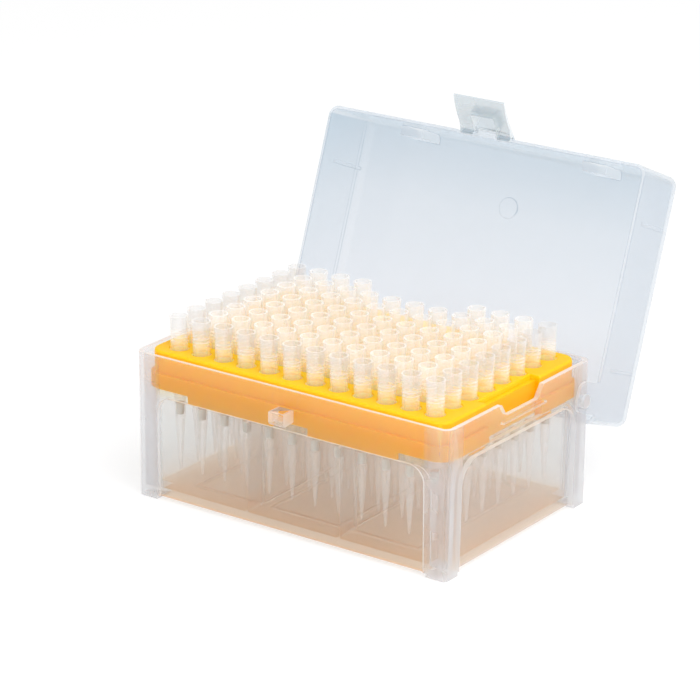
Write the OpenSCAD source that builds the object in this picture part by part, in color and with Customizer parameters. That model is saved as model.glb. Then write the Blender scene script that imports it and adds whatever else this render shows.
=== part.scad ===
// Hinged box of filter pipette tips, 8 by 12 on the 9 mm grid.
// A drafted tub on four feet carries a drop-in rack; the lid telescopes over the tub,
// turns on two ears at the back and is held shut by a swinging latch at the front.
// Frame: millimetres, Z up, origin on the ground under the middle of the whole object.
// X runs along the twelve columns, the latch is at -Y and the hinge at +Y.

/* [Grid] */
// Centre to centre distance of neighbouring tips
pitch = 9;            // [8:0.1:11]
// Number of columns along X
columns = 12;         // [12]
// Number of rows along Y
rows = 8;             // [8]
// Row that has lost tips, counted from the front, starting at 0
gap_row = 7;          // [0:7]
// First column with no tip in that row
gap_first = 4;        // [0:11]
// Last column with no tip in that row
gap_last = 7;         // [0:11]

/* [Tip] */
// Overall length of one tip
tip_length = 52.5;    // [40:0.1:65]
// Outer radius at the mouth
mouth_outer = 3.1;    // [3:0.01:3.28]
// Inner radius at the mouth
mouth_inner = 2.6;    // [2.55:0.01:2.7]
// Distance from the mouth to the shoulder that rests on the seat
shoulder_distance = 16.6; // [13:0.1:20]
// Outer radius just above the shoulder
shoulder_outer = 2.75; // [2.7:0.01:2.9]
// Wall thickness of the tip at the shoulder
tip_wall = 0.47;      // [0.4:0.01:0.55]
// Radial play of the tip's neck in its hole
neck_play = 0.13;     // [0.1:0.01:0.2]
// Distance from the fine ring to the mouth
ring_distance = 6.2;  // [5:0.1:8]
// Outer radius of the collar at that ring
ring_outer = 2.8;     // [2.75:0.01:2.95]
// Height of the filter plug
filter_height = 3.8;  // [3:0.1:5]
// Distance from the shoulder to the change of taper under the filter
taper_distance = 16.9; // [14:0.1:20]
// Outer radius at that change
taper_outer = 1.78;   // [1.7:0.01:1.85]
// Inner radius at that change
taper_inner = 1.35;   // [1.3:0.01:1.4]
// Outer radius at the point
point_outer = 0.42;   // [0.4:0.01:0.5]
// Inner radius at the point
point_inner = 0.22;   // [0.2:0.01:0.3]
// Air between a tip's point and the floor of the tub
point_gap = 5.3;      // [3:0.1:9]

/* [Rack] */
// Distance from the last column to the rack's end
rack_end = 7.8;       // [6.5:0.1:9.4]
// Distance from the last row to the rack's long side
rack_side = 6.2;      // [5.5:0.1:7.5]
// How far the lower skirt stands out beyond the upper part
skirt_step = 1.2;     // [0.8:0.1:1.4]
// Depth of that step below the top face
skirt_step_depth = 7.5; // [6:0.1:9]
// Depth of the skirt's lower edge below the top face
skirt_depth = 12.5;   // [11:0.1:15]
// How far the long feet reach below the skirt
tab_reach = 2.5;      // [1.8:0.1:3]
// Length of one long foot
tab_length = 33.7;    // [28:0.1:40]
// Distance from the middle to a long foot
tab_start = 6.8;      // [5:0.1:10]
// Length of a short rib inside the ends
end_tab_length = 8;   // [6:0.1:10]
// Distance from the middle to such a rib
end_tab_start = 15;   // [15:0.1:20]
// Wall thickness of the rack
rack_wall = 1.2;      // [1:0.1:1.5]
// Plan radius of the rack's upper part
rack_corner = 5;      // [4:0.5:6]
// Thickness of the rack's top plate
plate_thickness = 1.6; // [1.2:0.1:2]
// Radius of the collar bore that takes a tip
collar_radius = 3.3;  // [3.2:0.05:3.9]
// Depth of the seat under the top face
seat_depth = 5.6;     // [4.6:0.1:6.8]
// Wall around a collar bore
sleeve_wall = 0.7;    // [0.5:0.05:0.9]
// Thickness of the seat
seat_thickness = 1.4; // [1:0.1:2]
// Half width of the finger recess at the rack ends
grip_half = 15;       // [12:0.5:18]
// How far the finger recess is set back
grip_depth = 1.6;     // [1.2:0.1:2]
// Drop of the step at the head of the finger recess
grip_drop = 1.7;      // [1.2:0.1:2]
// Width of that step
grip_step = 1.9;      // [1.5:0.1:2.2]

/* [Tub] */
// Play between the skirt and the tub's end walls at the rim
end_play = 0.7;       // [0.5:0.1:1]
// Play between the skirt and the tub's long walls at the rim
side_play = 0.3;      // [0.25:0.05:0.6]
// How far the rack's top stands above the rim
rack_rise = 0.8;      // [0.4:0.1:1.5]
// Wall thickness
tub_wall = 1.6;       // [1.2:0.1:2]
// Plan radius of the tub corners
tub_corner = 4;       // [3:0.5:6]
// How far an end wall leans in from rim to ground
end_draft = 0.8;      // [0:0.1:1.2]
// How far a long wall leans in from rim to ground
side_draft = 0.6;     // [0:0.1:1.2]
// How far the feet reach below the walls
foot_drop = 1.2;      // [0.8:0.1:2]
// Top face of the floor
floor_top = 3.4;      // [2.8:0.1:5]
// Lead-in bevel along the long rims, so that the lid's front wall clears them as it swings
lead_in = 0.35;       // [0.3:0.05:0.6]
// Height of that bevel
lead_in_height = 2;   // [1.5:0.1:3]
// Depth of the arched panel in a long wall
side_panel_depth = 0.8; // [0.4:0.1:1]
// Width of the upright post beside a long panel
side_post = 9.3;      // [7:0.1:12]
// Depth of the arched panel in an end wall
end_panel_depth = 1.8; // [1:0.1:2]
// Width of the upright post beside an end panel
end_post = 8.3;       // [7:0.1:12]
// Radius in the upper corners of the long panels
side_panel_radius = 5.5; // [3:0.5:8]
// Radius in the upper corners of the end panels
end_panel_radius = 8;  // [5:0.5:9]
// Half width of a finger notch at its bottom
notch_half = 8.9;     // [7:0.1:11]
// How far each side of a finger notch spreads up to the rim
notch_spread = 3;     // [1:0.1:5]
// Depth of a finger notch below the rim
notch_depth = 4.2;    // [3:0.1:4.6]
// Radius in the bottom corners of a finger notch
notch_radius = 1.5;   // [0.5:0.1:2]
// Reach of the fins that stiffen the long walls
fin_reach = 10;       // [7:0.1:12]
// Thickness of a fin
fin_thickness = 1.2;  // [1:0.1:1.6]
// Gap between the top of a fin and the rack's long feet
fin_gap = 1.5;        // [1:0.1:3]
// Height of the ribs on the floor
floor_rib_height = 0.8; // [0.5:0.1:1.2]
// Half width of a catch
catch_half = 2.9;     // [2.5:0.1:3.2]
// Reach of the catch beyond the long wall
catch_reach = 5.4;    // [4.5:0.1:6]
// Height of the catch at the wall
catch_height = 3.95;  // [3.3:0.05:4.5]
// How much deeper the catch is at its nose
catch_hook = 0.45;    // [0.3:0.05:0.6]
// Bevel under the nose, which the latch rides over
catch_bevel = 0.8;    // [0.5:0.1:1.1]

/* [Lid] */
// Gap between the tub rim and the inside of the lid's end walls
lid_gap = 0.3;        // [0.25:0.05:0.5]
// Gap between the tub rim and the inside of the lid's long walls
lid_side_gap = 0.5;   // [0.45:0.05:0.8]
// Lid wall thickness
lid_wall = 1.1;       // [1:0.1:1.4]
// How far the closed lid reaches down over the tub
lid_overlap = 5.3;    // [5:0.1:6.5]
// Air between the mouths of the tips and the closed lid
head_room = 7.4;      // [4:0.1:9]
// Radius of the lid's outer edges and corners
lid_edge = 3.5;       // [3:0.1:4.2]
// Distance of the middle of a lug inside the front wall from the lid's end
lug_inset = 26;       // [20:0.5:32]
// Width of a lug
lug_width = 9;        // [6:0.5:12]
// How far a lug stands off the front wall
lug_reach = 3.3;      // [2:0.1:4]
// How far a lug reaches down from the panel
lug_depth = 11.4;     // [8:0.1:13]
// Distance of the round boss under the panel from the front wall
boss_inset = 21;      // [15:0.5:40]
// Radius of that boss
boss_radius = 3.6;    // [2.5:0.1:5]
// Distance of the ribs in the end walls from the front or back wall
end_rib_inset = 18.7; // [12:0.1:25]
// Distance of the hinge axis in front of the tub's back wall
hinge_inset = 6;      // [5.5:0.1:7]
// Distance of the hinge axis below the lid's rim
hinge_drop = 7.1;     // [6.5:0.1:8.5]
// Radius of a hinge pin on the tub
hinge_pin_radius = 2.3; // [1.9:0.05:2.8]
// Radial clearance of the ears on the pins
hinge_clearance = 0.05; // [0.03:0.01:0.1]
// Length of a lid ear along Y
ear_length = 10.4;    // [9:0.1:12.5]
// How far an ear reaches below the hinge axis
ear_drop = 4.4;       // [4:0.1:6]
// Angle of the open lid, where its back wall stands against the tub
open_angle = 110;     // [110]

/* [Latch] */
// Half length of the latch
latch_half = 9.9;     // [8:0.1:12]
// Side play of the latch's slot round the catch
slot_play = 1.4;      // [0.5:0.1:2]
// Thickness of the latch
latch_thickness = 1;  // [0.8:0.1:1.2]
// Height of the latch axis above the lid's rim
latch_rise = 2.3;     // [2:0.1:2.8]
// Distance of the latch axis beyond the lid's front wall
latch_reach = 0.2;    // [0.1:0.1:0.5]
// How far the middle of the plate lies in front of its axis
latch_set = 0.4;      // [0.3:0.1:0.6]
// Depth of the latch's kink below its axis
latch_kink = 4.4;     // [3.8:0.1:5]
// How far the lip sweeps out beyond the plate
latch_sweep = 1.1;    // [0.6:0.1:1.6]
// Length of the latch below the catch
latch_grip = 6.9;     // [5:0.1:9]
// Play of the latch's cap round the nose of the catch
cap_play = 0.3;       // [0.2:0.05:0.5]
// Wall of that cap
cap_wall = 0.6;       // [0.5:0.05:0.8]
// Radius of the latch pin on the lid
latch_pin_radius = 0.6; // [0.5:0.05:0.7]
// Radial clearance of the latch on its pin
latch_clearance = 0.05; // [0.03:0.01:0.08]
// Angle the latch hangs out from closed at rest
latch_rest = 41.6;    // [41.6]

/* [Hidden] */
$fn = 96;
eps = 0.1;
far = 400;

// heights, from the floor up
point_z = floor_top + point_gap;
tip_top = point_z + tip_length;
seat_z = tip_top - shoulder_distance;
rack_top = seat_z + seat_depth;
rim_height = rack_top - rack_rise;
skirt_low = rack_top - skirt_depth;
rack_step_z = rack_top - skirt_step_depth;
rack_foot_z = skirt_low - tab_reach;
lid_rim = rim_height - lid_overlap;
lid_top = tip_top + head_room + lid_wall;

// plan, from the grid out
grid_x = (columns - 1) * pitch / 2;
grid_y = (rows - 1) * pitch / 2;
rack_x = grid_x + rack_end;
rack_y = grid_y + rack_side;
skirt_x = rack_x + skirt_step;
skirt_y = rack_y + skirt_step;
inner_x = skirt_x + end_play;
inner_y = skirt_y + side_play;
tub_x = inner_x + tub_wall;
tub_y = inner_y + tub_wall;
lid_inner_x = tub_x + lid_gap;
lid_inner_y = tub_y + lid_side_gap;
lid_x = lid_inner_x + lid_wall;
lid_y = lid_inner_y + lid_wall;

// tub
end_lean = atan(end_draft / rim_height);
side_lean = atan(side_draft / rim_height);
side_panel_half = tub_x - side_post;
end_panel_half = tub_y - end_post;
side_panel_top = rack_foot_z + 0.6;
end_panel_top = skirt_low - 1;
bead_top = lid_rim - 0.05;
bead_half = notch_half + notch_spread + 0.4;
fin_x = 2 * pitch;
catch_top = lid_rim - 0.65;
catch_low = catch_top - catch_height;
catch_nose = tub_y + catch_reach;
catch_skin = 0.8;

// tip
collar_outer = collar_radius + sleeve_wall;
hole_radius = shoulder_outer - 0.2;
neck_outer = hole_radius - neck_play;
neck_inner = neck_outer - tip_wall;
taper_change = shoulder_distance + taper_distance;
filter_start = taper_change - 0.1 - filter_height;

// hinge: the axis, and the height where the lid's back wall is cut off so that it stands
// against the tub when the lid is open
hinge_y = tub_y - hinge_inset;
hinge_z = lid_rim - hinge_drop;
lean = side_draft / rim_height;
back_reach = lid_y - hinge_y;
stop_gap = 0.02;
stop_rise = (tub_y + stop_gap - hinge_y - back_reach * cos(open_angle)
    - lean * (rim_height - hinge_z + back_reach * sin(open_angle)))
    / (sin(open_angle) - lean * cos(open_angle));
back_rim = hinge_z + stop_rise;

// latch
latch_y = -lid_y - latch_reach;
latch_z = lid_rim + latch_rise;
knuckle_radius = latch_pin_radius + 0.55;
slot_half = catch_half + slot_play;
pocket_play = 0.3;
slot_low = catch_low - catch_hook - 0.12 - latch_z;
latch_low = slot_low - latch_grip;
cap_reach = catch_nose + latch_y + cap_play + cap_wall;

// the frame's origin is under the middle of the whole object at rest, lid open
lid_reach_y = hinge_y + (-lid_y + lid_edge - hinge_y) * cos(open_angle)
    + (lid_top - lid_edge - hinge_z) * sin(open_angle) + lid_edge;
middle_y = (lid_reach_y - catch_nose) / 2;

// ---------- shared shapes ----------

// Both signs of X, or of Y, or all four corners
module both_ends() {
    for (side = [0, 1])
        mirror([side, 0, 0])
            children();
}

module both_sides() {
    for (side = [0, 1])
        mirror([0, side, 0])
            children();
}

module rounded_plan(half_x, half_y, radius) {
    union() {
        square([2 * half_x - 2 * radius, 2 * half_y], center = true);
        square([2 * half_x, 2 * half_y - 2 * radius], center = true);
        both_ends()
            both_sides()
                translate([half_x - radius, half_y - radius])
                    circle(r = radius);
    }
}

module rounded_block(half_x, half_y, radius, low, high) {
    translate([0, 0, low])
        linear_extrude(high - low)
            rounded_plan(half_x, half_y, radius);
}

// Everything beyond the drafted planes that lie `inset` inside the end walls
module beyond_ends(inset) {
    for (side = [0, 180])
        rotate([0, 0, side])
            translate([tub_x - inset, 0, rim_height])
                rotate([0, end_lean, 0])
                    translate([0, -far / 2, -far / 2])
                        cube([far, far, far]);
}

// Everything beyond the drafted planes that lie `inset` inside the long walls
module beyond_sides(inset) {
    for (side = [0, 180])
        rotate([0, 0, side])
            translate([0, tub_y - inset, rim_height])
                rotate([-side_lean, 0, 0])
                    translate([-far / 2, 0, -far / 2])
                        cube([far, far, far]);
}

// Upright arch: straight foot below the ground, rounded upper corners at `high`
module arch(half, high, radius) {
    union() {
        translate([-half, -1])
            square([2 * half, high - radius + 1]);
        translate([-half + radius, -1])
            square([2 * half - 2 * radius, high + 1]);
        both_ends()
            translate([half - radius, high - radius])
                circle(r = radius);
    }
}

// Runs a drawing of a long wall right through the tub along Y
module through_sides() {
    rotate([90, 0, 0])
        translate([0, 0, -far / 2])
            linear_extrude(far)
                children();
}

// Runs a drawing of an end wall right through the tub along X
module through_ends() {
    rotate([90, 0, 90])
        translate([0, 0, -far / 2])
            linear_extrude(far)
                children();
}

// ---------- tub ----------

module tub_outside() {
    difference() {
        rounded_block(tub_x, tub_y, tub_corner, foot_drop, rim_height);
        beyond_ends(0);
        beyond_sides(0);
        // arched panels, sunk into the outside of all four walls
        intersection() {
            through_sides()
                arch(side_panel_half, side_panel_top, side_panel_radius);
            beyond_sides(side_panel_depth);
        }
        intersection() {
            through_ends()
                arch(end_panel_half, end_panel_top, end_panel_radius);
            beyond_ends(end_panel_depth);
        }
    }
}

module tub_inside() {
    difference() {
        rounded_block(inner_x, inner_y, tub_corner - tub_wall, floor_top, rim_height + 1);
        beyond_ends(tub_wall);
        beyond_sides(tub_wall);
        // the walls follow the panels inwards and leave the ledges the rack stands on
        intersection() {
            through_sides()
                arch(side_panel_half + tub_wall, rack_foot_z, side_panel_radius);
            beyond_sides(tub_wall + side_panel_depth);
        }
        intersection() {
            through_ends()
                arch(end_panel_half + tub_wall, skirt_low, end_panel_radius);
            beyond_ends(tub_wall + end_panel_depth);
        }
    }
}

module finger_notch() {
    slope = atan(notch_spread / notch_depth);
    run = notch_radius * tan((90 - slope) / 2);
    low = rim_height - notch_depth;
    spread = (notch_depth + 1) * tan(slope);
    union() {
        polygon([
            [-notch_half + run, low],
            [notch_half - run, low],
            [notch_half + run * sin(slope), low + run * cos(slope)],
            [notch_half + spread, rim_height + 1],
            [-notch_half - spread, rim_height + 1],
            [-notch_half - run * sin(slope), low + run * cos(slope)]
        ]);
        both_ends()
            translate([notch_half - run, low + notch_radius])
                circle(r = notch_radius);
    }
}

module rim_bevels() {
    both_sides()
        rotate([90, 0, 90])
            translate([0, 0, -far / 2])
                linear_extrude(far)
                    polygon([
                        [tub_y, rim_height - lead_in_height],
                        [tub_y - lead_in, rim_height],
                        [tub_y - lead_in, rim_height + 1],
                        [tub_y + 1, rim_height + 1],
                        [tub_y + 1, rim_height - lead_in_height]
                    ]);
}

module feet() {
    intersection() {
        difference() {
            rounded_block(tub_x, tub_y, tub_corner, 0, floor_top - eps);
            beyond_ends(0);
            beyond_sides(0);
        }
        both_ends()
            both_sides()
                translate([side_panel_half + 1, end_panel_half + 1, -1])
                    cube([far, far, floor_top + 1]);
    }
}

// Three low rectangles moulded on the floor, one between the fins and one each side
module floor_ribs() {
    gap = 3.4;
    bay = (2 * grid_x - 11.2 - 2 * gap) / 3;
    depth = 2 * grid_y - 0.6;
    for (k = [-1, 0, 1])
        translate([k * (bay + gap), 0, floor_top - eps])
            difference() {
                linear_extrude(floor_rib_height + eps)
                    square([bay, depth], center = true);
                translate([0, 0, -1])
                    linear_extrude(floor_rib_height + 3)
                        square([bay - 2, depth - 2], center = true);
            }
}

module fins() {
    both_ends()
        both_sides()
            difference() {
                translate([fin_x - fin_thickness / 2,
                           inner_y - side_panel_depth - fin_reach, floor_top - eps])
                    cube([fin_thickness, fin_reach + tub_wall / 2,
                          rack_foot_z - fin_gap - floor_top + eps]);
                beyond_sides(tub_wall / 2 + side_panel_depth);
            }
}

// Open-topped hook on the front wall, with an underside that rises towards the wall
module catch() {
    root = -tub_y + tub_wall / 2;
    difference() {
        rotate([90, 0, 90])
            translate([0, 0, -catch_half])
                linear_extrude(2 * catch_half)
                    polygon([
                        [root, catch_top],
                        [-catch_nose, catch_top],
                        [-catch_nose, catch_low - catch_hook + catch_bevel],
                        [-catch_nose + catch_bevel, catch_low - catch_hook],
                        [root, catch_low]
                    ]);
        translate([-catch_half + catch_skin, -catch_nose + catch_skin, catch_low + 1])
            cube([2 * (catch_half - catch_skin), catch_reach - catch_skin - 0.2,
                  catch_height]);
    }
}

module base() {
    color([0.87, 0.86, 0.86, 0.6])
        union() {
            difference() {
                union() {
                    difference() {
                        tub_outside();
                        tub_inside();
                    }
                    feet();
                }
                through_ends()
                    finger_notch();
                rim_bevels();
            }
            floor_ribs();
            fins();
            catch();
            // beads the closed lid sits on, under the finger notches
            both_ends()
                translate([tub_x - 0.5, -bead_half, bead_top - 0.8])
                    cube([1.6, 2 * bead_half, 0.8]);
            // fine ridges either side of the catch
            both_ends()
                translate([catch_half + 1.7, -tub_y - 0.15, lid_rim + 0.6])
                    cube([0.5, 0.75, rim_height - lead_in_height - lid_rim - 0.7]);
            // hinge pins
            both_ends()
                translate([tub_x - tub_wall / 2, hinge_y, hinge_z])
                    rotate([0, 90, 0])
                        cylinder(h = tub_wall / 2 + lid_gap + lid_wall + 0.6,
                                 r = hinge_pin_radius);
        }
}

// ---------- rack ----------

module rack_outside() {
    union() {
        rounded_block(rack_x, rack_y, rack_corner, rack_step_z - eps, rack_top);
        rounded_block(skirt_x, skirt_y, rack_corner + skirt_step, skirt_low, rack_step_z);
        // long feet, on the ledges of the tub's long walls
        both_ends()
            both_sides()
                translate([tab_start, skirt_y - rack_wall, rack_foot_z])
                    cube([tab_length, rack_wall, tab_reach + 1]);
    }
}

// Walls set back behind the finger recess, and the step at its head
module grip_walls() {
    half = grip_half + rack_wall;
    face = rack_x - grip_depth;
    both_ends() {
        translate([face - rack_wall, -half, rack_foot_z + 0.7])
            cube([far, 2 * half, far]);
        translate([face - grip_step - rack_wall, -half, rack_top - grip_drop - 1.5])
            cube([far, 2 * half, far]);
    }
}

module rack_inside() {
    difference() {
        union() {
            rounded_block(rack_x - rack_wall, rack_y - rack_wall, rack_corner - rack_wall,
                          rack_foot_z - 1, rack_top - plate_thickness);
            rounded_block(rack_x, rack_y, rack_corner, rack_foot_z - 1,
                          rack_step_z - rack_wall);
        }
        grip_walls();
    }
}

module grip_cuts() {
    face = rack_x - grip_depth;
    both_ends() {
        translate([face, -grip_half, rack_foot_z - 1])
            cube([far, 2 * grip_half, far]);
        translate([face - grip_step, -grip_half, rack_top - grip_drop])
            cube([far, 2 * grip_half, far]);
    }
}

// Short ribs inside the ends, hanging down inside the tub's end ledges
module end_tabs() {
    low_x = rack_x - rack_wall;
    both_ends()
        both_sides() {
            translate([low_x - 0.4, end_tab_start, rack_foot_z + 0.2])
                cube([1.2, end_tab_length, skirt_depth - skirt_step_depth]);
            translate([low_x - 0.4, end_tab_start, skirt_low + 0.6])
                cube([1.7, end_tab_length, 3.4]);
        }
}

module each_place() {
    for (i = [0 : columns - 1])
        for (j = [0 : rows - 1])
            translate([i * pitch - grid_x, j * pitch - grid_y, 0])
                children();
}

module rack() {
    color([1, 0.83, 0.13])
        difference() {
            union() {
                difference() {
                    rack_outside();
                    rack_inside();
                    grip_cuts();
                }
                end_tabs();
                each_place()
                    translate([0, 0, seat_z - seat_thickness])
                        cylinder(h = seat_depth + seat_thickness - 0.5, r = collar_outer);
            }
            each_place() {
                translate([0, 0, seat_z])
                    cylinder(h = seat_depth + 1, r = collar_radius);
                translate([0, 0, seat_z - seat_thickness - 1])
                    cylinder(h = seat_thickness + 2, r = hole_radius);
            }
        }
}

// ---------- tips ----------

function has_tip(i, j) = j != gap_row || i < gap_first || i > gap_last;

// Flared mouth, fine ring, straight collar, shoulder, then two tapers to the point
module tip() {
    ring_low = ring_distance + 0.7;
    rotate_extrude()
        polygon([
            [mouth_inner, 0],
            [mouth_outer, 0],
            [ring_outer, -ring_distance],
            [ring_outer + 0.07, -ring_distance],
            [ring_outer + 0.07, -ring_low],
            [ring_outer, -ring_low],
            [shoulder_outer, -shoulder_distance],
            [neck_outer, -shoulder_distance],
            [taper_outer, -taper_change],
            [point_outer, -tip_length],
            [point_inner, -tip_length],
            [taper_inner, -taper_change],
            [neck_inner, -shoulder_distance - 0.6],
            [neck_inner + 0.25, -shoulder_distance + 0.6],
            [ring_outer - tip_wall, -ring_low],
            [ring_outer - tip_wall + 0.12, -ring_distance]
        ]);
}

// The plug follows the taper of the bore with a hair of clearance
module filter() {
    fall = (neck_inner - taper_inner) / (taper_change - shoulder_distance - 0.6);
    low_radius = taper_inner + fall * 0.1 - 0.01;
    translate([0, 0, -taper_change + 0.1])
        cylinder(h = filter_height, r1 = low_radius, r2 = low_radius + fall * filter_height);
}

module column(i) {
    for (j = [0 : rows - 1])
        if (has_tip(i, j))
            translate([i * pitch - grid_x, j * pitch - grid_y, tip_top])
                children();
}

module tips(i) {
    color([0.97, 0.9, 0.84, 0.7])
        column(i)
            tip();
}

module filters(i) {
    color([0.95, 0.95, 0.93])
        column(i)
            filter();
}

// ---------- lid, drawn closed and then swung open ----------

module swing(angle, y, z) {
    translate([0, y, z])
        rotate([-angle, 0, 0])
            translate([0, -y, -z])
                children();
}

// Box with rounded upright and upper edges
module soft_box(half_x, half_y, radius, low, high) {
    cx = half_x - radius;
    cy = half_y - radius;
    union() {
        rounded_block(half_x, half_y, radius, low, high - radius);
        translate([-cx, -cy, high - radius - 1])
            cube([2 * cx, 2 * cy, radius + 1]);
        both_sides()
            translate([0, cy, high - radius])
                rotate([0, 90, 0])
                    cylinder(h = 2 * cx, r = radius, center = true);
        both_ends()
            translate([cx, 0, high - radius])
                rotate([90, 0, 0])
                    cylinder(h = 2 * cy, r = radius, center = true);
        both_ends()
            both_sides()
                translate([cx, cy, high - radius])
                    sphere(r = radius);
    }
}

module ear_outline() {
    low = hinge_z - ear_drop;
    front = lid_y - lid_edge - ear_length;
    radius = 3.5;
    union() {
        translate([front, low + radius])
            square([ear_length, lid_rim + 2 - low - radius]);
        translate([front + radius, low])
            square([ear_length - 2 * radius, radius + 1]);
        translate([front + radius, low + radius])
            circle(r = radius);
        translate([front + ear_length - radius, low + radius])
            circle(r = radius);
    }
}

module lid_shell() {
    pocket_low = slot_half - 0.1;
    difference() {
        soft_box(lid_x, lid_y, lid_edge, lid_rim, lid_top);
        soft_box(lid_inner_x, lid_inner_y, lid_edge - lid_wall, lid_rim - 1,
                 lid_top - lid_wall);
        // the back wall stops short, so that it comes to rest on the tub when open
        translate([-lid_x - 1, lid_y - lid_edge, lid_rim - 1])
            cube([2 * lid_x + 2, lid_edge + 1, back_rim - lid_rim + 1]);
        // pockets for the latch knuckles
        both_ends()
            translate([pocket_low, -lid_y - 1, lid_rim - 1])
                cube([latch_half + pocket_play - pocket_low, lid_wall + 2,
                      latch_rise + knuckle_radius + pocket_play + 1]);
    }
}

// Lugs and ribs inside the walls and a plain round boss under the panel
module lid_ribs() {
    panel = lid_top - lid_wall;
    intersection() {
        union() {
            both_ends()
                translate([lid_x - lug_inset - lug_width / 2, -lid_inner_y - 0.5,
                           panel - lug_depth])
                    cube([lug_width, lug_reach + 0.5, lug_depth + 0.5]);
            both_ends()
                both_sides()
                    translate([lid_inner_x - 0.4, lid_y - end_rib_inset, rack_top + 1])
                        cube([0.8, 1, panel - rack_top]);
            translate([0.6, -lid_y + boss_inset, panel - 0.4])
                cylinder(h = 1, r = boss_radius);
        }
        soft_box(lid_x - 0.3, lid_y - 0.3, lid_edge - 0.3, lid_rim, lid_top - 0.3);
    }
}

module lid_closed() {
    difference() {
        union() {
            lid_shell();
            lid_ribs();
            both_ends()
                translate([lid_inner_x, 0, 0])
                    rotate([90, 0, 90])
                        linear_extrude(lid_wall)
                            ear_outline();
            // web and bar the latch turns on
            translate([0, latch_y, latch_z])
                rotate([0, 90, 0])
                    cylinder(h = 2 * (slot_half - 0.1), r = knuckle_radius, center = true);
            translate([0, latch_y, latch_z])
                rotate([0, 90, 0])
                    cylinder(h = 2 * (latch_half + pocket_play + 0.2), r = latch_pin_radius,
                             center = true);
        }
        translate([0, hinge_y, hinge_z])
            rotate([0, 90, 0])
                cylinder(h = far, r = hinge_pin_radius + hinge_clearance, center = true);
    }
}

module lid() {
    color([0.84, 0.87, 0.9, 0.5])
        swing(open_angle, hinge_y, hinge_z)
            lid_closed();
}

// ---------- latch ----------

// The latch is drawn from the side, closed, about its axis

// How far out the middle of the plate lies at a height, and half its thickness there
function sweep_share(z) = max(0, (z + latch_kink + 1.6) / (latch_low + latch_kink + 1.6));
function plate_y(z) = -latch_set - latch_sweep * sweep_share(z) ^ 2;
function plate_half(z) = latch_thickness / 2 - 0.22 * sweep_share(z);

// Knuckle, kinked neck and a plate that sweeps outwards to a thinner lip
module latch_profile() {
    steps = 8;
    heights = [for (k = [0 : steps]) -latch_kink + (latch_low + latch_kink) * k / steps];
    difference() {
        union() {
            circle(r = knuckle_radius);
            polygon(concat(
                [[-1.1, -0.3], [1, -0.55], [0.42, -latch_kink + 1.8]],
                [for (z = heights) [plate_y(z) + plate_half(z), z]],
                [for (k = [steps : -1 : 0])
                    [plate_y(heights[k]) - plate_half(heights[k]), heights[k]]]
            ));
        }
        circle(r = latch_pin_radius + latch_clearance);
    }
}

// Outline of the cap over the catch, or of the hollow inside it
module cap_profile(wall, inner) {
    head = -knuckle_radius - 0.4 - wall;
    polygon([
        [inner, head],
        [-latch_set, head],
        [-cap_reach + wall, head - 0.6],
        [-cap_reach + wall, slot_low - cap_wall + wall],
        [inner, slot_low - cap_wall + wall]
    ]);
}

module along_latch(half) {
    translate([0, latch_y, latch_z])
        rotate([90, 0, 90])
            translate([0, 0, -half])
                linear_extrude(2 * half)
                    children();
}

module latch_closed() {
    difference() {
        union() {
            along_latch(latch_half)
                latch_profile();
            along_latch(slot_half + cap_wall)
                cap_profile(0, 0);
        }
        // hollow for the catch, open towards the tub, and the gap for the lid's web
        along_latch(slot_half)
            cap_profile(cap_wall, 3);
        translate([-slot_half, latch_y - 6, latch_z - knuckle_radius - 0.4])
            cube([2 * slot_half, 12, 20]);
        translate([-slot_half, latch_y, latch_z - latch_kink])
            cube([2 * slot_half, 6, 20]);
    }
}

module latch() {
    color([0.84, 0.87, 0.9, 0.7])
        swing(open_angle, hinge_y, hinge_z)
            swing(latch_rest, latch_y, latch_z)
                latch_closed();
}

// ---------- nodes ----------

module placed() {
    translate([0, -middle_y, 0])
        children();
}

placed() base();
placed() rack();
placed() lid();
placed() latch();
placed() tips(0);  // tips_01
placed() tips(1);  // tips_02
placed() tips(2);  // tips_03
placed() tips(3);  // tips_04
placed() tips(4);  // tips_05
placed() tips(5);  // tips_06
placed() tips(6);  // tips_07
placed() tips(7);  // tips_08
placed() tips(8);  // tips_09
placed() tips(9);  // tips_10
placed() tips(10);  // tips_11
placed() tips(11);  // tips_12
placed() filters(0);  // filters_01
placed() filters(1);  // filters_02
placed() filters(2);  // filters_03
placed() filters(3);  // filters_04
placed() filters(4);  // filters_05
placed() filters(5);  // filters_06
placed() filters(6);  // filters_07
placed() filters(7);  // filters_08
placed() filters(8);  // filters_09
placed() filters(9);  // filters_10
placed() filters(10);  // filters_11
placed() filters(11);  // filters_12
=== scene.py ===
# %% [markdown]
# # A box of pipette tips
# This lesson dresses a ready-made CAD model of a hinged tip box: a cloudy tub,
# a yellow rack, ninety-two filter tips, a lid and a latch. The CAD sets the
# sizes. What is added here is fine rounding, a slight lean of the lid's walls,
# and the finishes. The first cell brings that model in as a fixed frame whose
# parts already sit in place.

# %% Bring in the frame
import math

import bmesh
import bpy
from mathutils import Matrix, Quaternion, Vector
from mathutils.bvhtree import BVHTree


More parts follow.
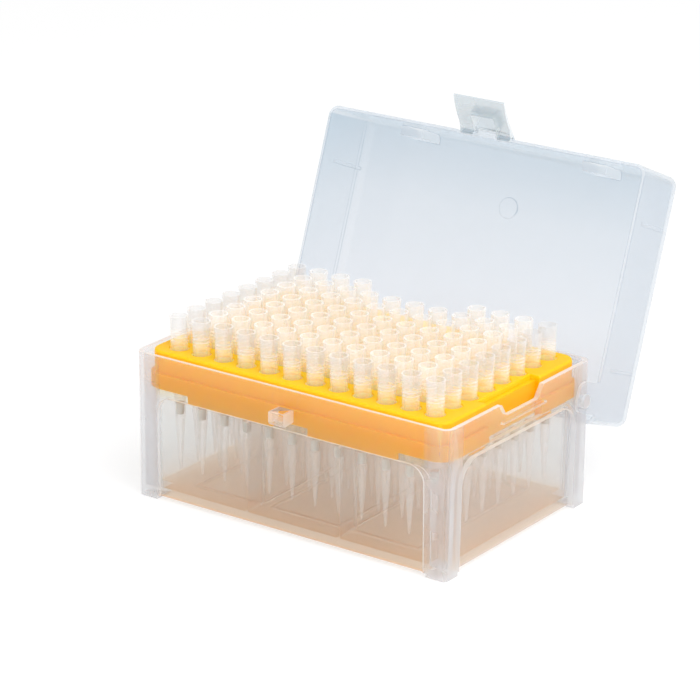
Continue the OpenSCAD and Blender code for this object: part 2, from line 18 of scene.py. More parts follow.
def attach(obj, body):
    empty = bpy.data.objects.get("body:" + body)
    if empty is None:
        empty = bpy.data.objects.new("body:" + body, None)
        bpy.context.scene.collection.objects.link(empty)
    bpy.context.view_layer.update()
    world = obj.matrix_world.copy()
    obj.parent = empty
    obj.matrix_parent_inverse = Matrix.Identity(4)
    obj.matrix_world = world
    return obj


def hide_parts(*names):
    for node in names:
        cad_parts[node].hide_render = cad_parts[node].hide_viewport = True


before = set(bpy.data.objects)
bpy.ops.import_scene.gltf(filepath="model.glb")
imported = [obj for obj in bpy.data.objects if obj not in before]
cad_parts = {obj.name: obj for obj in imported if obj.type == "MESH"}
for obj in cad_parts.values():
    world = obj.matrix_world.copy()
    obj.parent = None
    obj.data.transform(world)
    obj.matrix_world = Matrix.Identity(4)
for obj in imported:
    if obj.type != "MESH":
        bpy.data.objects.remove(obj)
scene = bpy.context.scene
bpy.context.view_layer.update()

# %% [markdown]
# The box is seen from its right front corner, a little from above, through a
# long lens, so its edges hardly converge. A camera in Blender looks along its
# own -Z axis. Two angles, a place and a slight roll fix it, which is easier to
# read than a table of numbers.

# %% Camera
AZIMUTH, ELEVATION, ROLL = (math.radians(a) for a in (35.578, 19.654, 0.391))
CAMERA_PLACE = Vector((0.54202, -0.787011, 0.38569))
LENS = 160.58

away = Vector((math.sin(AZIMUTH) * math.cos(ELEVATION),
               -math.cos(AZIMUTH) * math.cos(ELEVATION),
               math.sin(ELEVATION)))
camera = bpy.data.objects.new("camera", bpy.data.cameras.new("camera"))
scene.collection.objects.link(camera)
scene.camera = camera
camera.data.lens = LENS
camera.data.sensor_width = 36
camera.data.clip_start, camera.data.clip_end = 0.01, 20
camera.location = CAMERA_PLACE
camera.rotation_mode = "QUATERNION"
camera.rotation_quaternion = (
    (-away).to_track_quat("-Z", "Y") @ Quaternion((0, 0, 1), ROLL)
)
print("camera at", tuple(round(v, 3) for v in CAMERA_PLACE))

# %% [markdown]
# Every finish below is a node tree. Written socket by socket such a tree is
# long and hard to read, so one small class wraps a socket and lets Python's
# own signs make the Math nodes. Any other node comes from one method, which
# takes the node's type, its settings, and then the values of its sockets.

# %% Node shorthand
class Wire:
    """One output of a node, which sums and products can be made from."""

    def __init__(self, socket):
        self.socket = socket

    def node(self, kind, settings=None, inputs=None, out=0):
        return make_node(self.socket.id_data, kind, settings, inputs, out)

    def _maths(self, operation, *values):
        return self.node("ShaderNodeMath", {"operation": operation},
                         dict(enumerate(values)))

    def __add__(self, other):
        return self._maths("ADD", self, other)

    def __sub__(self, other):
        return self._maths("SUBTRACT", self, other)

    def __rsub__(self, other):
        return self._maths("SUBTRACT", other, self)

    def __mul__(self, other):
        return self._maths("MULTIPLY", self, other)

    def __truediv__(self, other):
        return self._maths("DIVIDE", self, other)

    def __pow__(self, other):
        return self._maths("POWER", self, other)

    def __rpow__(self, other):
        return self._maths("POWER", other, self)

    __radd__, __rmul__ = __add__, __mul__

    def size(self):
        return self._maths("ABSOLUTE", self)

    def clamp(self, low=0.0, high=1.0):
        return self.node("ShaderNodeClamp", {}, {0: self, 1: low, 2: high})


def make_node(tree, kind, settings=None, inputs=None, out=0):
    made = tree.nodes.new(kind)
    for name, value in (settings or {}).items():
        setattr(made, name, value)
    for key, value in (inputs or {}).items():
        socket = made.inputs[key]
        if isinstance(value, Wire):
            tree.links.new(value.socket, socket)
        elif socket.type == "RGBA" and len(value) == 3:
            socket.default_value = (*value, 1)
        else:
            socket.default_value = value
    return Wire(made.outputs[out]) if made.outputs else None


def new_finish(name):
    finish = bpy.data.materials.new(name)
    finish.use_nodes = True
    finish.node_tree.nodes.clear()
    return finish, finish.node_tree


def close_finish(tree, surface):
    make_node(tree, "ShaderNodeOutputMaterial", {}, {"Surface": surface})


print("shorthand ready")

# %% [markdown]
# A softly lit white table is the plainest stage. The floor is a matt sheet
# that keeps the box's shadow. It also adds most of its own white where the
# camera sees it, so the sheet reads as white with no more light on the box.

# %% White table
REACH = 6
OWN_WHITE = 0.65
BELOW_BOX = -0.0002

corners = [(-REACH, -REACH, 0), (REACH, -REACH, 0), (REACH, REACH, 0), (-REACH, REACH, 0)]
floor_mesh = bpy.data.meshes.new("table")
floor_mesh.from_pydata(corners, [], [(0, 1, 2, 3)])
floor = bpy.data.objects.new("table", floor_mesh)
floor.location.z = BELOW_BOX
scene.collection.objects.link(floor)

finish, tree = new_finish("table white")
paint = make_node(tree, "ShaderNodeBsdfDiffuse", {}, {"Color": (0.9, 0.9, 0.9)})
white = make_node(tree, "ShaderNodeEmission", {}, {"Strength": 1.0})
seen = make_node(tree, "ShaderNodeLightPath", {}, {}, "Is Camera Ray")
close_finish(tree, make_node(tree, "ShaderNodeMixShader", {},
                             {0: seen * OWN_WHITE, 1: paint, 2: white}))
floor_mesh.materials.append(finish)
print("table adds", OWN_WHITE, "of its own white")

# %% [markdown]
# Cloudy plastic looks best in even light from all round, as in a light tent.
# The world gives that, and one wide lamp, above and to the right of the front,
# adds a soft direction. What the camera sees of the world is plain white.
# Light crosses many cloudy walls on its way, so it's allowed many bounces.

# %% Light tent
scene.view_settings.view_transform = "Standard"
BOUNCES = 32
scene.cycles.max_bounces = BOUNCES
scene.cycles.diffuse_bounces = BOUNCES
scene.cycles.transparent_max_bounces = 2 * BOUNCES

TENT_LIGHT = 0.95
LAMP_PLACE, LAMP_TARGET = (0.55, -0.30, 0.85), (0, 0, 0.04)
LAMP_SIZE, LAMP_WATTS = 0.8, 7.2

world = bpy.data.worlds.new("light tent")
scene.world = world
world.use_nodes = True
tree = world.node_tree
tree.nodes.clear()
rays = [make_node(tree, "ShaderNodeLightPath", {}, {}, f"Is {kind} Ray")
        for kind in ("Camera", "Glossy", "Transmission")]
plain, tent = [make_node(tree, "ShaderNodeBackground", {},
                         {"Strength": strength, "Color": (1, 1, 1)})
               for strength in (1.0, TENT_LIGHT)]
both = make_node(tree, "ShaderNodeMixShader", {},
                 {0: (rays[0] + rays[1] + rays[2]).clamp(), 1: tent, 2: plain})
make_node(tree, "ShaderNodeOutputWorld", {}, {"Surface": both})

lamp = bpy.data.lights.new("right lamp", "AREA")
lamp.shape, lamp.size, lamp.energy = "DISK", LAMP_SIZE, LAMP_WATTS
holder = bpy.data.objects.new("right lamp", lamp)
scene.collection.objects.link(holder)
holder.location = LAMP_PLACE
holder.rotation_mode = "QUATERNION"
aim = Vector(LAMP_TARGET) - Vector(LAMP_PLACE)
holder.rotation_quaternion = aim.to_track_quat("-Z", "Y")
print("tent light", TENT_LIGHT)

# %% [markdown]
# Each moulding came out of a steel mould, whose edges are never quite sharp.
# A copy of the CAD piece gets a narrow bevel on its sharp edges, and normals
# weighted by area keep the flat walls flat. The copy stands for the CAD piece
# and rides on the same body.

# %% Moulded copies
MM = 0.001
CENTRE_Y = -22.372955 * MM
SAME_POINT, SAME_PLANE = 0.002 * MM, math.radians(0.5)
STAYS_SHARP = math.radians(50)


def open_copy(node):
    """The CAD piece as a closed mesh of flat faces, ready to be reshaped."""
    made = bmesh.new()
    made.from_mesh(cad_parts[node].data)
    bmesh.ops.remove_doubles(made, verts=made.verts, dist=SAME_POINT)
    bmesh.ops.dissolve_limit(made, angle_limit=SAME_PLANE,
                             verts=made.verts, edges=made.edges)
    return made


def sharp_edges(made, degrees=35, shortest=0.25 * MM):
    """The edges to soften, without those that meet an edge under the shortest."""
    def tiny(edge):
        return any(other.calc_length() < shortest
                   for vert in edge.verts for other in vert.link_edges)
    return [edge for edge in made.edges if edge.is_manifold
            and edge.calc_face_angle(0) > math.radians(degrees)
            and not tiny(edge)]


def soften(made, edges, width, steps=2):
    bmesh.ops.bevel(made, geom=edges, offset=width, segments=steps,
                    profile=0.5, affect="EDGES", clamp_overlap=False,
                    material=1)


def close_copy(made, node, body, finish):
    """Turn the worked mesh into the piece that stands for the node."""
    for face in made.faces:
        face.smooth = True
        face.material_index = 0
    mesh = bpy.data.meshes.new(f"{node} moulding")
    made.to_mesh(mesh)
    made.free()
    if "custom_normal" in mesh.attributes:
        mesh.attributes.remove(mesh.attributes["custom_normal"])
    mesh.set_sharp_from_angle(angle=STAYS_SHARP)
    mesh.materials.clear()
    mesh.materials.append(finish)
    piece = bpy.data.objects.new(f"{node}_moulding", mesh)
    scene.collection.objects.link(piece)
    even = piece.modifiers.new("flat walls", "WEIGHTED_NORMAL")
    even.keep_sharp = True
    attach(piece, body)
    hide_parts(node)
    print(node, "has", len(mesh.polygons), "faces")


print("middle of the tub: y =", round(CENTRE_Y / MM, 2), "mm")

# %% [markdown]
# Clear polypropylene is cloudy all the way through, so how milky a face looks
# depends on how much plastic lies behind it: a wall is faint, while a rim seen
# along the wall is white. Rays sent inward from many points of each smooth
# region find that depth, and the middle value, weighted by area, is stored on
# its faces. Edges softened later are marked as deeper than they are, which
# paints them as lighter lines: a painted highlight along the outer edges.
# region find that depth, and the middle value, weighted by area, is stored on
# its faces. Edges softened later are marked as deeper, so that they catch light.

# %% Depth of plastic behind each face
# the second value is a painted highlight: softened outer edges count as this deep, so they
# show as lighter lines
DEEPEST, HIGHLIGHT_DEPTH = 14.0, 4.0
SAME_REGION = 0.45
TOWARDS_CORNERS = 0.7


def measure_depth(made, deepest=DEEPEST):
    """Millimetres of plastic behind each region, kept as 'wall'."""
    wall = made.faces.layers.float.new("wall")
    tree = BVHTree.FromBMesh(made)
    waiting = set(made.faces)
    regions = 0
    while waiting:
        region = [waiting.pop()]
        for face in region:
            for edge in face.edges:
                if edge.is_manifold and edge.calc_face_angle(0) < SAME_REGION:
                    for other in edge.link_faces:
                        if other in waiting:
                            waiting.discard(other)
                            region.append(other)
        found = []
        for face in region:
            normal, centre = face.normal, face.calc_center_median()
            spots = [centre] + [centre.lerp(vert.co, TOWARDS_CORNERS) for vert in face.verts]
            for spot in spots:
                start = spot - normal * 0.01 * MM
                gap = tree.ray_cast(start, -normal)[3]
                found.append((min(gap / MM, deepest) if gap else deepest,
                              face.calc_area() / len(spots)))
        found.sort()
        half, depth = sum(area for _, area in found) / 2, found[-1][0]
        for value, area in found:
            half -= area
            if half <= 0:
                depth = value
                break
        for face in region:
            face[wall] = depth
        regions += 1
    print("regions:", regions)
    return wall


def is_inside_corner(face):
    """True where the flat faces beside a softened edge rise in front of it."""
    ahead = 0
    for edge in face.edges:
        for other in edge.link_faces:
            if other.material_index == 0:
                gap = other.calc_center_median() - face.calc_center_median()
                ahead += gap.dot(face.normal)
    return ahead > 0


def mark_edges(made, wall, outer=HIGHLIGHT_DEPTH, inner_shade=None):
    """Softened outer edges are marked a few millimetres deep, a painted highlight; softened
    inside corners get the painted shade value, where one is given.
    """
    made.normal_update()
    for face in made.faces:
        if face.material_index == 1:
            if not is_inside_corner(face):
                face[wall] = max(face[wall], outer)
            elif inner_shade is not None:
                face[wall] = inner_shade


print("softened edges count as", HIGHLIGHT_DEPTH, "mm deep")

# %% [markdown]
# Cloudy plastic shows its colour in three ways: as the milk that scatters light
# back, as the same milk with light coming through it, and as the tint of what
# is seen straight through. A finish lays colours over these three together,
# one after another, each where a mask from 0 to 1 allows it.

# %% Tints
def blend_colours(tree, factor, first, second):
    return make_node(tree, "ShaderNodeMix", {"data_type": "RGBA"},
                     {0: factor, 6: first, 7: second}, 2)


def mix_shaders(tree, factor, first, second):
    return make_node(tree, "ShaderNodeMixShader", {}, {0: factor, 1: first, 2: second})


def place_in(tree):
    """The three coordinates of a point on the piece, in metres."""
    place = make_node(tree, "ShaderNodeTexCoord", {}, {}, "Object")
    return [place.node("ShaderNodeSeparateXYZ", {}, {0: place}, axis)
            for axis in range(3)]


def noise(tree, scale, detail):
    place = make_node(tree, "ShaderNodeTexCoord", {}, {}, "Object")
    return make_node(tree, "ShaderNodeTexNoise", {},
                     {"Vector": place, "Scale": scale, "Detail": detail})


def stored_depth(tree):
    """The millimetres of plastic that measure_depth kept on the faces."""
    return make_node(tree, "ShaderNodeAttribute", {"attribute_name": "wall"}, {}, 2)


def rise(gap, over):
    """A mask from 0 to 1, as a gap in metres grows from 0 to 'over' millimetres."""
    return (gap / (over * MM)).clamp()


def progress(value, start, end):
    """A mask from 0 to 1, as a value goes from start to end."""
    return ((value - start) / (end - start)).clamp()


class Tint:
    """Milk and window colours of a cloudy plastic, laid over one another."""

    def __init__(self, tree, milk, clear):
        self.tree = tree
        self.milk = milk
        self.behind = self.leaf("ShaderNodeBsdfTranslucent", milk)
        self.window = self.leaf("ShaderNodeBsdfTransparent", clear)

    def leaf(self, kind, colour):
        return make_node(self.tree, kind, {}, {"Color": colour})

    def lay(self, mask, milk=None, clear=None):
        if milk is not None:
            self.milk = blend_colours(self.tree, mask, self.milk, milk)
            self.behind = mix_shaders(self.tree, mask, self.behind,
                                      self.leaf("ShaderNodeBsdfTranslucent", milk))
        if clear is not None:
            self.window = mix_shaders(self.tree, mask, self.window,
                                      self.leaf("ShaderNodeBsdfTransparent", clear))

    def lay_levels(self, height, levels, where=1.0):
        """Colours that change from level to level, each a (height, milk, clear)."""
        for (low, _, _), (high, milk, clear) in zip(levels, levels[1:]):
            self.lay(progress(height, low, high) * where, milk, clear)


print("tints ready")

# %% [markdown]
# The cloudy finish itself: a share of the light goes straight through, tinted
# a little, and the rest is scattered, partly back and partly on through the
# wall. The share grows with the depth of plastic along the line of sight, as
# it does in a glass of thin milk. A sharp gloss sits on top.

# %% Cloudy plastic
REFRACTION = 1.49
GLANCING = 0.22
THINNEST_CLOUD, UNEVEN_CLOUD = 0.8, 0.4
GLOSS_FACE_ON, GLOSS_AT_EDGE = 0.03, 0.9


def cloudiness(tree, density, depth):
    """The scattered share for a depth in millimetres, and how edge-on it is."""
    facing = make_node(tree, "ShaderNodeLayerWeight", {}, {"Blend": 0.5}, "Facing")
    cloud = noise(tree, 90.0, 3.0)
    along = depth / (1.0 - facing).clamp(GLANCING, 1.0)
    uneven = THINNEST_CLOUD + UNEVEN_CLOUD * cloud
    clear_share = math.exp(-density) ** (along * uneven)
    return 1.0 - clear_share, facing


def cloudy(tree, haze, facing, tint, rough, through):
    body = make_node(tree, "ShaderNodeBsdfPrincipled", {},
                     {"Base Color": tint.milk, "Roughness": rough, "IOR": REFRACTION})
    scatter = mix_shaders(tree, through, body, tint.behind)
    see = mix_shaders(tree, haze.clamp(), tint.window, scatter)
    gloss = make_node(tree, "ShaderNodeBsdfGlossy", {},
                      {"Color": (1, 1, 1), "Roughness": rough})
    shine = GLOSS_FACE_ON + GLOSS_AT_EDGE * facing ** 5.0
    close_finish(tree, mix_shaders(tree, shine, see, gloss))


def linear(r, g, b):
    """A colour as a paint chart gives it, 0 to 255, in Blender's own scale."""
    return tuple(((c / 255 + 0.055) / 1.055) ** 2.4 if c > 10 else c / 3295
                 for c in (r, g, b))


print("gloss:", GLOSS_FACE_ON, "to", round(GLOSS_FACE_ON + GLOSS_AT_EDGE, 2))

# %% [markdown]
# The tub is the plain cloudy plastic. Light that has been through the yellow
# rack warms its floor and the foot of its walls. That warm light is painted
# here, as tints laid by height, first for the floor plate and then, over them,
# for the walls. A darker brown line of painted shade marks where the floor plate
# joins the walls, and painted yellow light shows where the rack stands behind
# them. Painted light and shade also give the end walls a greyer, cooler tint
# and the corner posts a greyer one, and a painted highlight makes the catch whiter.

# %% Tub finish
TUB_DENSITY = 0.055
FLOOR_LIGHT_LEVELS = (
    (0.0, (0.86, 0.76, 0.64), (0.96, 0.91, 0.85)),
    (3.0, (0.84, 0.58, 0.31), (0.92, 0.79, 0.64)),
    (4.25, (0.96, 0.80, 0.64), (0.96, 0.91, 0.87)),
    (10.0, (0.91, 0.88, 0.85), (0.97, 0.97, 0.97)),
)
WALL_LIGHT_LEVELS = (
    (0.0, (0.86, 0.85, 0.84), (0.96, 0.96, 0.96)),
    (1.1, (0.90, 0.80, 0.70), (0.96, 0.94, 0.92)),
    (1.35, (1.0, 0.62, 0.36), (0.98, 0.84, 0.72)),
    (1.8, (1.0, 0.66, 0.42), (0.98, 0.86, 0.76)),
    (2.25, (0.82, 0.71, 0.58), (0.93, 0.915, 0.88)),
    (6.0, (0.83, 0.80, 0.73), (0.925, 0.928, 0.92)),
    (25.0, (0.90, 0.915, 0.91), (0.95, 0.973, 0.976)),
    (35.0, (0.90, 0.92, 0.90), (0.948, 0.966, 0.968)),
    (38.0, (0.97, 0.80, 0.42), (0.955, 0.940, 0.84)),
    (42.0, (0.97, 0.80, 0.42), (0.955, 0.940, 0.84)),
    (43.5, (0.93, 0.84, 0.68), (0.955, 0.945, 0.90)),
    (48.75, (0.93, 0.86, 0.72), (0.955, 0.950, 0.91)),
    (49.5, (0.90, 0.91, 0.93), (0.95, 0.957, 0.966)),
)

END_WALL_X, LONG_WALL_Y = 57.1 * MM, 38.9 * MM
POST_X, POST_Y = 51.5 * MM, 32.5 * MM
CATCH_Y = 40.9 * MM
POST_EXTRA, END_WALL_EXTRA = 2.2, 0.3

finish, tree = new_finish("tub plastic")
x, y, z = place_in(tree)
height = z / MM
away_x = x.size()
away_y = (y - CENTRE_Y).size()
at_end_wall = rise(away_x - END_WALL_X, 0.25)
at_wall = (at_end_wall + rise(away_y - LONG_WALL_Y, 0.25)).clamp()
at_post = rise(away_x - POST_X, 0.5) * rise(away_y - POST_Y, 0.5)
at_catch = rise(away_y - CATCH_Y, 0.125)
depth = stored_depth(tree)

tint = Tint(tree, *FLOOR_LIGHT_LEVELS[0][1:])
# painted light: warm light from the rack, laid on the floor plate by height
tint.lay_levels(height, FLOOR_LIGHT_LEVELS)
tint.lay(at_wall, *WALL_LIGHT_LEVELS[0][1:])
# painted light and shade on the walls: warm at the foot, a darker brown line at the floor
# plate, yellow at the rack's height, lighter towards the top
tint.lay_levels(height, WALL_LIGHT_LEVELS, at_wall)
# painted light and shade: a greyer, cooler tint laid over the end walls
tint.lay(at_end_wall * 0.65, (0.82, 0.83, 0.85), (0.925, 0.94, 0.95))
# painted shade: the corner posts are greyer
tint.lay(at_post, (0.84, 0.85, 0.88), (0.933, 0.940, 0.948))
# painted highlight: the catch is whiter
tint.lay(at_catch, (0.97, 0.965, 0.96), (0.98, 0.98, 0.98))
# thick places are whiter, and so the softened edges show here as painted highlight lines
tint.lay(progress(depth, 3.0, 5.0) * 0.7, (0.96, 0.955, 0.95))
extra = POST_EXTRA * at_post + END_WALL_EXTRA * at_end_wall
haze, facing = cloudiness(tree, TUB_DENSITY, depth + extra)
cloudy(tree, haze, facing, tint, rough=0.3, through=0.8)
tub_plastic = finish
print("tub levels:", len(WALL_LIGHT_LEVELS))

# %% [markdown]
# The tub itself gets a fine rounding, as a mould leaves it, on its sharp edges
# apart from those that meet a very short one. The plastic's depth is measured
# first, on the plain faces, and then the new faces along the edges are marked.

# %% Tub
EDGE_WIDTH = 0.15 * MM

made = open_copy("base")
wall = measure_depth(made)
soften(made, sharp_edges(made), EDGE_WIDTH)
# painted highlight: the softened outer edges are marked as deep plastic, so they show as
# lighter lines
mark_edges(made, wall)
close_copy(made, "base", "tub", tub_plastic)

# %% [markdown]
# The lid is moulded from a bluer plastic. Over it lies painted shade by height,
# as the lid stands open: its tint darkens upwards and clears again near the top.
# The front wall and the right-hand end wall get lighter tints of their own, as
# painted light. To find a place such as the front wall, a point is first swung
# back to where it would be with the lid shut. Softened inside corners, and the
# edges round the boss, are darker lines of painted shade, and thick places are
# whiter. The crease across the end walls is a painted shade line, and the wall
# is painted a little darker where it is seen edge-on.

# %% Lid finish
LID_DENSITY = 0.10
HINGE = Vector((0, 12.427, 37.0)) * MM
OPEN = math.radians(110)
# painted shade: the lid's tint by height as it stands open
LID_SHADE_LEVELS = (
    (45.0, (0.84, 0.87, 0.90), (0.885, 0.90, 0.925)),
    (75.0, (0.76, 0.815, 0.86), (0.85, 0.875, 0.905)),
    (90.0, (0.72, 0.7875, 0.84), (0.80, 0.84, 0.88)),
    (105.0, (0.68, 0.76, 0.82), (0.75, 0.81, 0.86)),
    (109.5, (0.68, 0.76, 0.82), (0.80, 0.85, 0.89)),
    (114.0, (0.68, 0.76, 0.82), (0.90, 0.92, 0.94)),
)

FRONT_WALL_Y, RIGHT_END_X = -61.8 * MM, 59.2 * MM
CREASE_Z, CREASE_X, CREASE_HALF = 66.2 * MM, 60.5 * MM, 1 / 3

finish, tree = new_finish("lid plastic")
x, y, z = place_in(tree)
from_hinge_y, from_hinge_z = y - HINGE.y, z - HINGE.z
shut_y = from_hinge_y * math.cos(OPEN) - from_hinge_z * math.sin(OPEN) + HINGE.y
shut_z = from_hinge_y * math.sin(OPEN) + from_hinge_z * math.cos(OPEN) + HINGE.z
at_front = rise(FRONT_WALL_Y - shut_y, 0.5)
on_crease = 1.0 - rise((shut_z - CREASE_Z).size(), CREASE_HALF)
crease_shade = on_crease * rise(x.size() - CREASE_X, 1 / 3)
at_right_end = rise(x - RIGHT_END_X, 1.25)
depth = stored_depth(tree)
haze, facing = cloudiness(tree, LID_DENSITY, depth.clamp(0.0, DEEPEST))

tint = Tint(tree, *LID_SHADE_LEVELS[0][1:])
# painted shade: the tint darkens with height and clears again near the top
tint.lay_levels(z / MM, LID_SHADE_LEVELS)
# painted light: a lighter tint on the front wall
tint.lay(at_front, (0.76, 0.81, 0.85), (0.90, 0.925, 0.95))
# painted shade: a darker line along the crease of the end walls
tint.lay(crease_shade, None, (0.62, 0.68, 0.74))
# painted light: a lighter tint on the right-hand end wall
tint.lay(at_right_end, (0.86, 0.89, 0.92), (0.925, 0.935, 0.95))
# painted shade: darker lines in the softened inside corners
tint.lay((-1.0 * depth).clamp(), None, (0.60, 0.66, 0.72))
tint.lay(progress(depth, 2.0, 4.0), (0.95, 0.96, 0.97))
# painted shade: darker where the wall is seen edge-on
tint.lay(facing ** 3.0, None, (0.72, 0.78, 0.83))
cloudy(tree, haze, facing, tint, rough=0.22, through=0.6)
lid_plastic = finish
print("lid levels:", len(LID_SHADE_LEVELS))

# %% [markdown]
# The lid's front wall leans in by a millimetre and a half towards the top, so
# that it leaves the mould, which the plain CAD walls leave out. The copy is
# swung shut, leaned, and swung open again, and the front wall's lean fades to
# nothing at the back wall. The end walls lean by much less.

# %% Lid
RIM, TOP, HALF_DEPTH, HALF_WIDTH = 44.1 * MM, 69.7 * MM, 42.4 * MM, 62.2 * MM
LEAN_FRONT, LEAN_ENDS = 1.6 * MM, 0.3 * MM
LID_DEEPEST, LID_HIGHLIGHT_DEPTH, CORNER_SHADE = 4.0, 2.2, -1.0
BOSS, BOSS_REACH = Vector((0.6, -43.773, 68.4)) * MM, 4.3 * MM


def swing_shut(place):
    return Matrix.Rotation(OPEN, 3, "X") @ (place - HINGE) + HINGE


def swing_open(place):
    return Matrix.Rotation(-OPEN, 3, "X") @ (place - HINGE) + HINGE


made = open_copy("lid")
for vert in made.verts:
    shut = swing_shut(vert.co)
    share = min(max((shut.z - RIM) / (TOP - RIM), 0), 1)
    ahead = (HALF_DEPTH - (shut.y - CENTRE_Y)) / (2 * HALF_DEPTH)
    shut.y += LEAN_FRONT * ahead * share
    shut.x -= LEAN_ENDS * shut.x / HALF_WIDTH * share
    vert.co = swing_open(shut)
wall = measure_depth(made, LID_DEEPEST)
soften(made, sharp_edges(made), EDGE_WIDTH)
# painted highlight on the softened outer edges, painted shade in the softened inside corners
mark_edges(made, wall, LID_HIGHLIGHT_DEPTH, CORNER_SHADE)
boss = swing_open(BOSS)
# painted shade: the softened edges round the boss get the dark corner line too
for face in made.faces:
    from_boss = (face.calc_center_median() - boss).length
    if face.material_index == 1 and from_boss < BOSS_REACH:
        face[wall] = CORNER_SHADE
close_copy(made, "lid", "lid", lid_plastic)

# %% [markdown]
# The latch is a separate small moulding on the lid's front wall. Its finish is
# cloudier than the lid's, chosen so that it reads as a piece of its own, and
# its thick places are whiter than its plate. Its edges are so small that only
# a twentieth of a millimetre comes off them.

# %% Latch
LATCH_DENSITY = 0.35
LATCH_EDGE_WIDTH, LATCH_HIGHLIGHT_DEPTH = 0.05 * MM, 3.5

finish, tree = new_finish("latch plastic")
depth = stored_depth(tree)
tint = Tint(tree, (0.62, 0.70, 0.75), (0.92, 0.938, 0.95))
tint.lay(progress(depth, 2.0, 4.0), (0.94, 0.96, 0.97))
haze, facing = cloudiness(tree, LATCH_DENSITY, depth.clamp(0.0, 2.5))
cloudy(tree, haze, facing, tint, rough=0.25, through=0.6)

made = open_copy("latch")
wall = measure_depth(made)
soften(made, sharp_edges(made, shortest=0.1 * MM), LATCH_EDGE_WIDTH)
# painted highlight: the softened outer edges are marked as deep plastic, so they show as
# lighter lines
mark_edges(made, wall, LATCH_HIGHLIGHT_DEPTH)
close_copy(made, "latch", "latch", finish)

# %% [markdown]
# The rack is the one solid colour in the box, a warm yellow that glows a
# little where light comes through its thin skirt. A soft subsurface base under
# a translucent share gives the glow. Inside the bores the light bounces between
# yellow faces many times and would turn brown, so the bores are painted paler.
# The skirt's sides are painted a deeper yellow: painted shade, and the deeper colour of
# light that has come through the plastic.

# %% Rack finish
SKIRT_X, SKIRT_Y, PLATE_EDGE_Z = 55.3 * MM, 37.1 * MM, 49.7 * MM
BORES_X, BORES_Z = 53.0 * MM, 49.9 * MM
TOP_YELLOW, SHADED_SIDE_YELLOW = linear(255, 226, 16), linear(254, 198, 0)
PALE_BORE = (1.0, 0.93, 0.50)
GLOW, LESS_IN_BORES = 0.5, 0.4

finish, tree = new_finish("rack plastic")
x, y, z = place_in(tree)
away_x = x.size()
away_y = (y - CENTRE_Y).size()
outside = (rise(away_x - SKIRT_X, 0.25) + rise(away_y - SKIRT_Y, 0.25)).clamp()
below = rise(PLATE_EDGE_Z - z, 2 / 3)
in_bores = rise(BORES_X - away_x, 0.25) * rise(BORES_Z - z, 1 / 3) * (1.0 - outside)
cloud = noise(tree, 300.0, 4.0)
top = blend_colours(tree, cloud, TOP_YELLOW, linear(255, 232, 30))
# painted shade: the skirt's sides are a deeper yellow than the top
side = blend_colours(tree, cloud, SHADED_SIDE_YELLOW, linear(255, 206, 3))
yellow = blend_colours(tree, outside * below, top, side)
# painted light: the bores are paler than their bounces would leave them
yellow = blend_colours(tree, in_bores, yellow, PALE_BORE)
body = make_node(tree, "ShaderNodeBsdfPrincipled", {},
                 {"Base Color": yellow, "Roughness": 0.42, "IOR": REFRACTION,
                  "Subsurface Weight": 0.8, "Subsurface Scale": 0.003,
                  "Subsurface Radius": (1.0, 0.5, 0.12)})
glow = make_node(tree, "ShaderNodeBsdfTranslucent", {}, {"Color": linear(255, 206, 50)})
close_finish(tree, mix_shaders(tree, GLOW - LESS_IN_BORES * in_bores, body, glow))
rack_plastic = finish
print("rack yellow:", [round(c, 3) for c in TOP_YELLOW])

# %% [markdown]
# Fingers and tips meet the rack's upper edge, which is broadly rounded and so
# carries a highlight. The other edges, the rims of the bores among them, are
# only broken by a tenth of a millimetre.

# %% Rack
RACK_TOP, RACK_HALF_X, RACK_HALF_Y = 50.2 * MM, 57.3 * MM, 37.7 * MM
UPPER_EDGE, FINE_EDGE = 0.8 * MM, 0.12 * MM


def on_upper_edge(edge):
    middle = (edge.verts[0].co + edge.verts[1].co) / 2
    beyond = max(abs(middle.x) - RACK_HALF_X,
                 abs(middle.y - CENTRE_Y) - RACK_HALF_Y)
    return (all(abs(vert.co.z - RACK_TOP) < 0.01 * MM for vert in edge.verts)
            and beyond > -1.5 * MM)


made = open_copy("rack")
upper = [edge for edge in sharp_edges(made) if on_upper_edge(edge)]
soften(made, upper, UPPER_EDGE, 3)
fine = [edge for edge in sharp_edges(made, 60) if edge.calc_length() > 0.3 * MM]
print("upper edges:", len(upper), "others:", len(fine))
soften(made, fine, FINE_EDGE, 1)
close_copy(made, "rack", "tub", rack_plastic)

# %% [markdown]
# The tips are thin clear tubes. Seen face on they hardly cloud what is behind
# them, and along their edges they turn white, which the same cloudy finish
# gives when the wall is about half a millimetre deep. The collar has one raised
# ring in the CAD, and three bands are painted milkier round it. The rack's
# yellow light is painted into the tips by height, strongest at the foot of the
# collar. The front row and both end columns get a little painted shade near
# their mouths, since otherwise they would vanish against the white behind them,
# and the walls are painted a little greyer where they are seen edge-on.

# %% Tips
TIP_DENSITY = 0.4
STEM_DEPTH, COLLAR_MORE, BORE_LESS = 0.3, 0.2, 0.25
RINGS = ((55.6, 1.1), (54.4, 1.2), (53.2, 0.5))
TIP_RACK_LIGHT_LEVELS = (
    (21.0, (0.97, 0.965, 0.96), (0.998, 0.996, 0.994)),
    (42.0, (0.98, 0.96, 0.94), (0.998, 0.994, 0.988)),
    (44.8, (1.0, 0.95, 0.66), (1.0, 0.99, 0.95)),
    (50.4, (1.0, 0.975, 0.86), (1.0, 0.995, 0.98)),
    (55.3, (1.0, 0.99, 0.97), (0.999, 0.999, 0.997)),
    (61.25, (1.0, 0.99, 0.975), (0.996, 0.996, 0.996)),
)

END_COLUMN_X, FRONT_ROW_Y = 45.5 * MM, 27.5 * MM

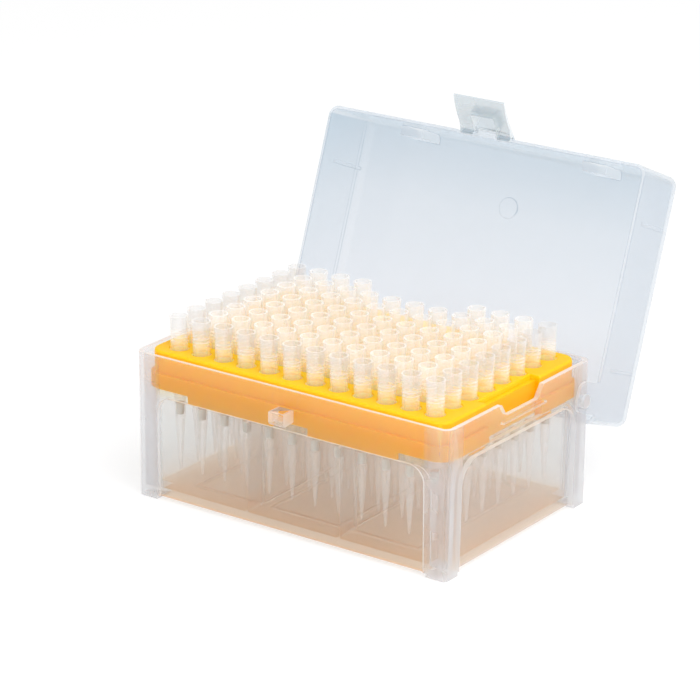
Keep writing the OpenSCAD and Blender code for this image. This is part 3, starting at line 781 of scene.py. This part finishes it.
finish, tree = new_finish("tip plastic")
x, y, z = place_in(tree)
height = z / MM
ahead = CENTRE_Y - y
at_rim = (rise(x.size() - END_COLUMN_X, 1.0) + rise(ahead - FRONT_ROW_Y, 1.0)).clamp()
above = progress(height, 40.0, 44.0)
in_bore = progress(height, 52.0, 50.75) * above
rings = sum((1.0 - (height - level).size() * 6.0).clamp() * strength
            for level, strength in RINGS)
plain_depth = STEM_DEPTH + COLLAR_MORE * above - BORE_LESS * in_bore
depth = (plain_depth + rings) * (1.0 - 0.3 * at_rim)
haze, facing = cloudiness(tree, TIP_DENSITY, depth)

tint = Tint(tree, *TIP_RACK_LIGHT_LEVELS[0][1:])
# painted light: the rack's yellow light laid on by height, strongest at the collar's foot
tint.lay_levels(height, TIP_RACK_LIGHT_LEVELS)
at_mouth = progress(height, 53.5, 57.5)
# painted shade: the front row and end columns greyer near the mouth
tint.lay(at_rim * at_mouth, (0.88, 0.88, 0.88), (0.962, 0.960, 0.960))
# painted shade: a little greyer where the wall is seen edge-on
tint.lay(facing ** 3.0, None, (0.96, 0.96, 0.962))
cloudy(tree, haze, facing, tint, rough=0.2, through=0.15)
tip_plastic = finish
print("tip rings:", len(RINGS))

# %% [markdown]
# A filter is a plug of sintered grains. A fine noise in its colour and a rough
# surface are enough, since it is only seen through the tip's wall.

# %% Filters
CHALK, DARKER_CHALK = (0.68, 0.67, 0.62), (0.56, 0.55, 0.50)

finish, tree = new_finish("filter plastic")
grain = noise(tree, 3000.0, 3.0)
chalk = blend_colours(tree, grain, DARKER_CHALK, CHALK)
close_finish(tree, make_node(tree, "ShaderNodeBsdfPrincipled", {},
                             {"Base Color": chalk, "Roughness": 0.9}))
filter_plastic = finish
print("filter chalk:", CHALK)

# %% [markdown]
# The tips and filters are shown as the CAD made them, so they only need their
# finishes. Each of the frame's material slots has a name that says which one.

# %% Finishes into slots
by_slot = {"tub_plastic": tub_plastic, "lid_plastic": lid_plastic,
           "rack_plastic": rack_plastic, "tip_plastic": tip_plastic,
           "filter_plastic": filter_plastic}
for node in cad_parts.values():
    for slot in node.material_slots:
        slot.material = by_slot[slot.material.name.split(".")[0]]
print("finishes:", sorted(by_slot))
